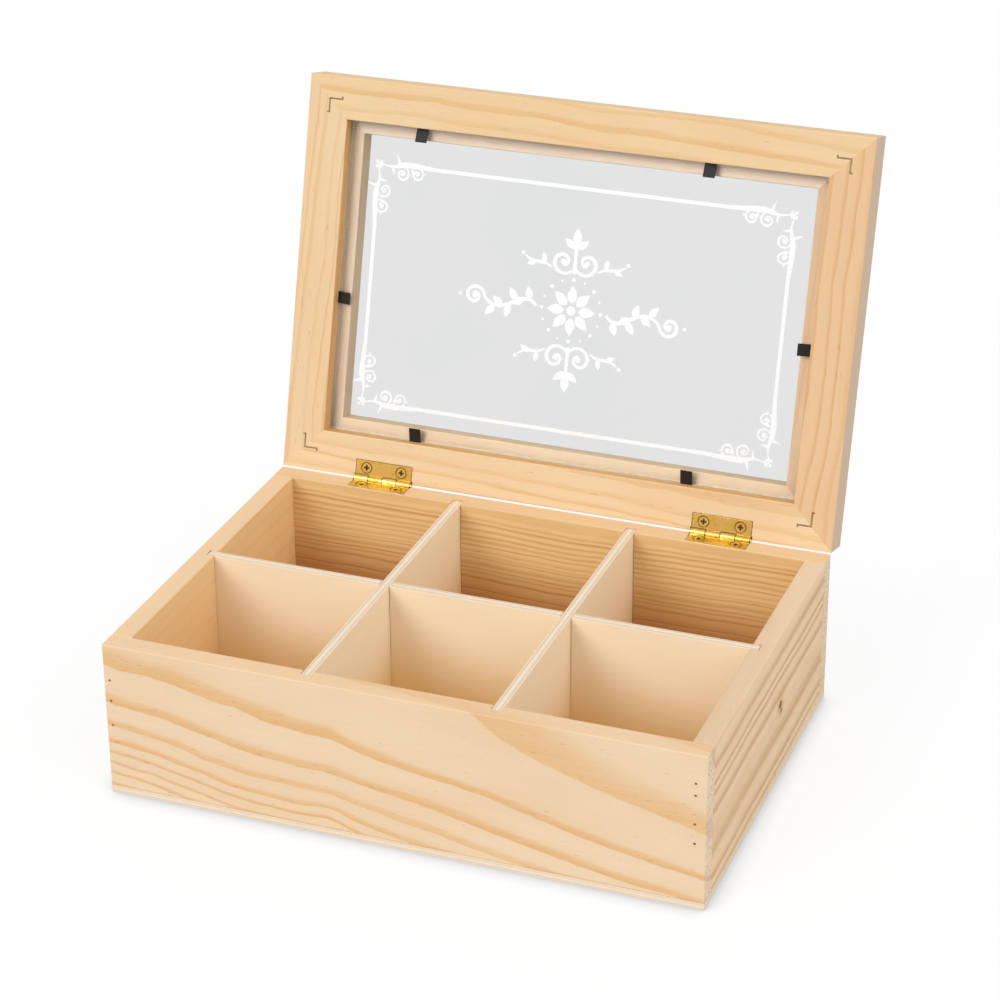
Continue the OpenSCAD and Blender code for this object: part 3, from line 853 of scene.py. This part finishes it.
def eased(node, width, wanted, material, segments=3):
    """A node's shape with the wanted edges eased, which stands for the node."""
    turn = TO_CLOSED if on_lid(node) else Matrix.Identity(4)
    shape = join_up(NODES[node], turn)
    low, high = flat_box(node)
    edges = [e for e in shape.edges if len(e.link_faces) == 2 and e.is_convex and wanted(e, low, high)]
    bmesh.ops.bevel(
        shape, geom=edges, offset=width, segments=segments, profile=0.5, affect="EDGES", clamp_overlap=True
    )
    bmesh.ops.transform(shape, matrix=turn.inverted(), verts=shape.verts)
    piece = add_piece(node + "_eased", shape, material, "lid" if on_lid(node) else "box")
    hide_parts(node)
    return piece


def turns(edge, degrees):
    """True if the faces beside an edge meet at more than an angle."""
    return edge.calc_face_angle() > math.radians(degrees)


def outer_arris(edge, low, high):
    """True for an edge on two of its board's outer faces."""
    if not turns(edge, 60):
        return False
    middle = (edge.verts[0].co + edge.verts[1].co) / 2
    near = 0.01 * MM
    faces = sum(abs(middle[i] - low[i]) < near or abs(middle[i] - high[i]) < near for i in range(3))
    return faces >= 2


def rail_arris(edge, low, high):
    """True for a sharp edge that runs the length of a rail or stile."""
    run = edge.verts[1].co - edge.verts[0].co
    level = min(abs(run.x), abs(run.y)) < 0.01 * MM and abs(run.z) < 0.01 * MM
    return turns(edge, 60) and level and run.length > 60 * MM


def any_arris(edge, low, high):
    """True for any edge that turns enough to catch the light, wherever it lies."""
    return turns(edge, 40)


def dress(node, material):
    """Gives a CAD node its finish."""
    data = NODES[node].data
    data.materials.clear()
    data.materials.append(material)


# ---- The print on the glass, in millimetres from the lid's middle ----

# The enamel's thickness, and how far it lies off the glass
PRINT_T = 0.04 * MM
PRINT_GAP = 0.02 * MM
# Half the width and half the height of the printed frame
FRAME_HALF = Vector((89.0, 50.2))
# How far the print's middle lies from the lid's middle, towards the right and the hinges
PRINT_SHIFT = Vector((0.1, 1.5))
# How far the corners' ornament reaches along the frame, how far it laps over the lines, and their width
CORNER_REACH = 25.0
LAP = 1.0
LINE_W = 1.6


def at_angle(degrees):
    return Vector((math.cos(math.radians(degrees)), math.sin(math.radians(degrees))))


def stroke(points, widths):
    """The outline of a line through points that swells or thins, with its widths spread evenly along it."""
    left, right = [], []
    for i, point in enumerate(points):
        ahead = points[min(i + 1, len(points) - 1)] - points[max(i - 1, 0)]
        side = Vector((-ahead.y, ahead.x)).normalized()
        place = i / (len(points) - 1) * (len(widths) - 1)
        whole = min(int(place), len(widths) - 2)
        width = widths[whole] + (widths[whole + 1] - widths[whole]) * (place - whole)
        left.append(point + side * width / 2)
        right.append(point - side * width / 2)
    return left + right[::-1]


def bend(start, first, second, end, steps=10):
    """Points along a Bezier curve."""
    a, b, c, d = (Vector(p) for p in (start, first, second, end))
    ways = [i / steps for i in range(steps + 1)]
    return [a * (1 - t) ** 3 + b * 3 * t * (1 - t) ** 2 + c * 3 * t * t * (1 - t) + d * t**3 for t in ways]


def curl(start, centre, turns_round, end_radius, steps=20):
    """Points along a spiral that winds in from start round a centre, against the clock for turns above 0."""
    centre = Vector(centre)
    out = Vector(start) - centre
    begin = math.degrees(math.atan2(out.y, out.x))
    points = []
    for i in range(steps + 1):
        t = i / steps
        radius = out.length + (end_radius - out.length) * t
        points.append(centre + at_angle(begin + 360 * turns_round * t) * radius)
    return points


def disc(centre, radius, corners=14):
    return [Vector(centre) + radius * at_angle(360 * i / corners) for i in range(corners)]


def leaf(root, heading, length, width, steps=6):
    """A pointed leaf that grows from its root along a heading in degrees."""
    ahead = at_angle(heading)
    side = Vector((-ahead.y, ahead.x))
    root = Vector(root)
    rows = [(i / steps, width / 2 * math.sin(math.pi * (i / steps) ** 0.8)) for i in range(steps + 1)]
    upper = [root + ahead * length * t + side * w for t, w in rows]
    lower = [root + ahead * length * t - side * w for t, w in rows[1:-1]]
    return upper + lower[::-1]


def mirrored(shapes, x=1, y=1):
    return [[Vector((p.x * x, p.y * y)) for p in shape] for shape in shapes]


def corner_arm():
    """Half of a corner: x runs from the corner along the border, y points out of the frame."""
    onto_line = (CORNER_REACH + LAP, 0.0)
    return [
        stroke(bend((0.6, 0.0), (3.2, -0.1), (5.5, -1.5), (9.0, 0.0)), [0.8, 0.6, 1.0, 1.7]),
        stroke(bend((8.2, -0.5), (11.5, 1.2), (15.0, 0.6), onto_line), [1.5, 2.5, 2.3, LINE_W]),
        stroke(bend((9.6, 0.4), (8.6, 1.6), (8.9, 2.9), (8.0, 4.4), 6), [1.6, 1.0, 0.3]),
        stroke(bend((6.0, -0.8), (6.8, -1.8), (7.0, -2.6), (6.7, -4.0), 6), [0.9, 1.1, 0.3]),
        stroke(curl((12.2, -0.6), (10.7, -3.3), -1.25, 0.7), [0.7, 1.0, 0.7, 0.8]),
        disc((10.6, -3.3), 0.75),
        leaf((14.9, -0.6), -80, 3.2, 1.2),
        stroke(curl((18.8, -0.5), (17.3, -2.9), -1.2, 0.6), [0.6, 0.9, 0.7, 0.7]),
        disc((17.2, -2.9), 0.7),
        disc((20.7, -2.3), 0.45),
    ]


def corner():
    """A whole corner, with a knot of four balls where its arms meet."""
    arm = corner_arm()
    along_x = mirrored(arm, x=-1)
    along_y = [[Vector((p.y, -p.x)) for p in shape] for shape in arm]
    balls = [disc((x, y), 0.72) for x in (-0.95, 0.95) for y in (-0.95, 0.95)]
    return along_x + along_y + balls + [disc((0, 0), 0.55)]


def border():
    """The straight lines of the printed frame, and its four corners."""
    half_x, half_y = FRAME_HALF
    shapes = []
    for side in (-1, 1):
        level = [Vector((x, side * half_y)) for x in (CORNER_REACH - half_x, half_x - CORNER_REACH)]
        upright = [Vector((side * half_x, y)) for y in (CORNER_REACH - half_y, half_y - CORNER_REACH)]
        shapes += [stroke(level, [LINE_W, LINE_W]), stroke(upright, [LINE_W, LINE_W])]
    for x in (-1, 1):
        for y in (-1, 1):
            moved = [[p + FRAME_HALF for p in shape] for shape in corner()]
            shapes += mirrored(moved, x, y)
    return shapes


def rosette():
    """An eight-petalled flower inside a ring of beads."""
    shapes = [disc((0, 0), 2.0)]
    for i in range(8):
        shapes.append(leaf(at_angle(45 * i) * 2.9, 45 * i, 7.6, 4.3))
        shapes.append(disc(at_angle(45 * i) * 12.8, 0.85))
        shapes.append(disc(at_angle(45 * i + 22.5) * 12.8, 0.55))
    return shapes


# Leaves on the side vine: the step of its stem that each grows from, its heading and its length
VINE_LEAVES = ((3, 75, 6.0), (6, -30, 5.4), (9, 55, 6.4), (12, -75, 6.2), (15, 40, 5.6), (18, -50, 6.0))


def side_vine():
    """The vine to the right of the flower, with leaves on both sides and a curl at its end."""
    stem = bend((15.0, 0.0), (22.0, 8.5), (29.0, -8.5), (38.0, 1.2), 22)
    shapes = [stroke(stem, [1.2, 1.8, 1.5, 1.3])]
    shapes += [leaf(stem[step], heading, length, 3.3) for step, heading, length in VINE_LEAVES]
    shapes.append(stroke(curl((37.8, 1.0), (42.2, 1.2), -1.35, 1.0, 26), [1.3, 1.6, 1.4, 1.1]))
    shapes.append(disc((42.2, 1.2), 1.15))
    shapes.append(disc((48.6, 1.2), 0.8))
    return shapes


def top_sprig():
    """The upright sprig above the flower: a stem with a bud, and a scroll and small leaves on each side."""
    shapes = [stroke([Vector((0, 15.2)), Vector((0, 28.0))], [1.6, 1.3]), leaf((0, 27.0), 90, 7.0, 3.8)]
    half = [
        stroke(curl((0.3, 17.2), (5.0, 19.8), 1.2, 1.0, 24), [1.1, 1.7, 1.3, 1.1]),
        disc((5.0, 19.8), 1.2),
        leaf((0.4, 25.5), 38, 6.2, 3.1),
        stroke(bend((9.8, 16.8), (14.0, 20.0), (18.0, 17.0), (21.5, 20.5), 10), [0.8, 1.5, 0.8]),
        leaf((13.0, 18.4), 78, 4.6, 2.3),
        leaf((16.6, 18.4), -20, 4.4, 2.2),
        disc((22.6, 21.4), 0.85),
    ]
    return shapes + half + mirrored(half, x=-1)


def ornament():
    """The ornament in the middle: a flower between two vines and two sprigs."""
    shapes = rosette()
    for side in (-1, 1):
        shapes += mirrored(side_vine(), x=side, y=side)
        shapes += mirrored(top_sprig(), y=side)
    return shapes


def filled(outlines):
    """Flat triangles that cover what lies inside any of the outlines, in a new mesh shape in metres."""
    corners, faces = [], []
    for outline in outlines:
        span = range(len(corners), len(corners) + len(outline))
        turn = sum(a.cross(b) for a, b in zip(outline, outline[1:] + outline[:1]))
        faces.append(list(span) if turn > 0 else list(reversed(span)))
        corners += outline
    places, _, triangles, _, _, owners = delaunay_2d_cdt(corners, [], faces, 1, 1e-4)
    shape = bmesh.new()
    dots = [shape.verts.new((p.x * MM, p.y * MM, 0)) for p in places]
    for triangle, owner in zip(triangles, owners):
        if owner:
            shape.faces.new([dots[i] for i in triangle])
    bmesh.ops.delete(shape, geom=[v for v in shape.verts if not v.link_faces], context="VERTS")
    return shape


def make_print():
    """All the printed shapes as one thin sheet of enamel on the inner face of the glass."""
    shape = filled(border() + ornament())
    grown = bmesh.ops.extrude_face_region(shape, geom=shape.faces[:])["geom"]
    lower = [part for part in grown if isinstance(part, bmesh.types.BMVert)]
    bmesh.ops.translate(shape, verts=lower, vec=(0, 0, -PRINT_T))
    bmesh.ops.recalc_face_normals(shape, faces=shape.faces)
    onto_glass = Matrix.Translation((*(PRINT_SHIFT * MM), flat_box("glass_pane")[0].z - PRINT_GAP))
    bmesh.ops.transform(shape, matrix=TO_OPEN @ onto_glass, verts=shape.verts)
    add_piece("glass_print", shape, white_enamel("print_white"), "lid")


# ---- Dressing ----

make_camera()
make_world()
make_lamp("key", KEY_FROM, KEY_STRENGTH, KEY_SOFTNESS)
make_lamp("fill", FILL_FROM, FILL_STRENGTH, FILL_SOFTNESS)
make_floor()

# Growth rings, as (distance from the tree's heart in millimetres, number of the ring)
FRONT_RINGS = [(40, 0), (62.3, 1), (75.4, 1.68), (78.3, 2), (88.6, 3), (95, 4), (100.2, 5), (104.3, 6)]
FRONT_RINGS += [(108.4, 7), (112.4, 8), (116.6, 9), (121, 10), (126, 11), (132, 12)]
RIGHT_RINGS = list(zip((108, 118, 128.9, 136.4, 141.6, 150.6, 162.5, 175.9, 181, 190), range(10)))
BACK_RINGS = [(60, 0), (79, 2.5), (90, 6), (97, 9), (104, 12.5), (126, 22), (160, 36)]

# Each box board's grain direction and cut
BOX_BOARDS = {
    "front_board": ("X", Cut((61.75, 46), FRONT_RINGS, drift=(-0.142, 0), bow=(-0.0005, 0),
                             narrowing=(0.0029, 78.3), kinks=((-27.0, 8.0, 1.1), (-66.0, 28.0, -1.7)),
                             seed=1.0, steady=0.75, early=(239, 212, 178), late=(228, 183, 128))),
    "back_board": ("X", Cut((20, 106), BACK_RINGS, drift=(0.0, -0.004), wave=1.1, contrast=0.72, seed=2.0,
                            profile="soft", steady=0.3, uneven=0.8, painted_shade_heights=(14.0, -16.0),
                            early=(240, 205, 148), late=(194, 140, 80))),
    "left_side_board": ("Y", Cut((46, -70), evenly(6.0), drift=(0.05, 0.02), contrast=0.3, seed=3.0,
                                 early=(245, 207, 154))),
    "right_side_board": ("Y", Cut((20, 150), RIGHT_RINGS, drift=(0.0, 0.012), wave=1.0, seed=4.0,
                                  profile="soft", steady=0.55, uneven=0.5,
                                  early=(243, 214, 176), late=(208, 162, 110))),
}
# The tone of each box board's top edge: its own tone with painted light and shade mixed in
RIM_TONES_AND_LIGHT = {
    "front_board": (238, 200, 156),
    "back_board": (232, 198, 165),
    "left_side_board": (234, 206, 176),
    "right_side_board": (229, 202, 174),
}
# Each lid board's grain direction, pith, ring width, contrast, seed, early wood and how much painted light
# makes its lip pale
LID_BOARDS = {
    "lid_front_rail": ("X", (-60, 70), 4.6, 0.65, 5.0, (234, 204, 160), 0.95),
    "lid_back_rail": ("X", (-22, 26), 4.6, 0.6, 6.0, (237, 209, 168), 0.3),
    "lid_left_stile": ("Y", (-60, 60), 3.4, 0.7, 7.0, (234, 204, 163), 0.6),
    "lid_right_stile": ("Y", (60, 60), 3.8, 0.8, 8.0, (228, 193, 151), 0.1),
}
# How much darker a lid board's late wood is than its early wood
LATE_DROP = (15, 34, 50)
# The resin pocket on the right side board: how far along the board and how far up from its centre
KNOT_AT = (13.6, -0.3)

# How far the pieces' sharp edges are eased
BOARD_EASE = 0.45 * MM
RAIL_EASE = 0.5 * MM
PLY_EASE = 0.2 * MM
SHEET_METAL_EASE = 0.12 * MM
SCREW_EASE = 0.14 * MM

for node, (along, cut) in BOX_BOARDS.items():
    knot = KNOT_AT if node == "right_side_board" else None
    wood = pine(node + "_pine", node, along, cut, rim_tone_and_light=RIM_TONES_AND_LIGHT[node], knot=knot)
    eased(node, BOARD_EASE, outer_arris, wood)
for node, (along, pith, width, contrast, seed, early, lip) in LID_BOARDS.items():
    late = tuple(part - drop for part, drop in zip(early, LATE_DROP))
    cut = Cut(pith, evenly(width), drift=(0.03, 0.0), contrast=contrast, seed=seed, steady=0.3, uneven=0.6,
              early=early, late=late)
    eased(node, RAIL_EASE, rail_arris, pine(node + "_pine", node, along, cut, lip=lip))

# Each sheet's grain direction, the axis across its thickness and its colours
PLY = {
    "bottom_panel": ("X", 2, BOTTOM_PLY),
    "long_divider": ("X", 1, DIVIDER_PLY),
    "left_cross_divider": ("Y", 1, DIVIDER_PLY),
    "right_cross_divider": ("Y", 1, DIVIDER_PLY),
}
FIRST_PLY_SEED = 11.0
for number, (node, (along, through, plies)) in enumerate(PLY.items()):
    material = plywood(node + "_ply", node, along, through, plies, seed=FIRST_PLY_SEED + number)
    eased(node, PLY_EASE, outer_arris, material, segments=2)

for side in ("left", "right"):
    for body in ("box", "lid"):
        leaf_node = f"{side}_hinge_{body}_leaf"
        screws = f"{side}_hinge_{body}_screws"
        leaf_brass = brass(leaf_node + "_brass", screws)
        screw_brass = brass(screws + "_brass", screws, is_screw=True)
        eased(leaf_node, SHEET_METAL_EASE, any_arris, leaf_brass, segments=2)
        eased(screws, SCREW_EASE, any_arris, screw_brass, segments=2)
    dress(f"{side}_hinge_pin", leaf_brass)

brad_steel = nail_steel("brad_steel", *BRAD_TONES)
for node in ("front_brads", "back_brads", "bottom_brads"):
    dress(node, brad_steel)
dress("lid_v_nails", nail_steel("v_nail_steel", *V_NAIL_TONES))
eased("glass_tabs", SHEET_METAL_EASE, any_arris, black_steel("tab_black"), segments=2)
dress("glass_pane", window_glass("pane_glass"))
# Light reaches what lies under the clear glass as if the pane weren't there
NODES["glass_pane"].visible_shadow = False
make_print()

bpy.context.scene.view_settings.view_transform = "Standard"
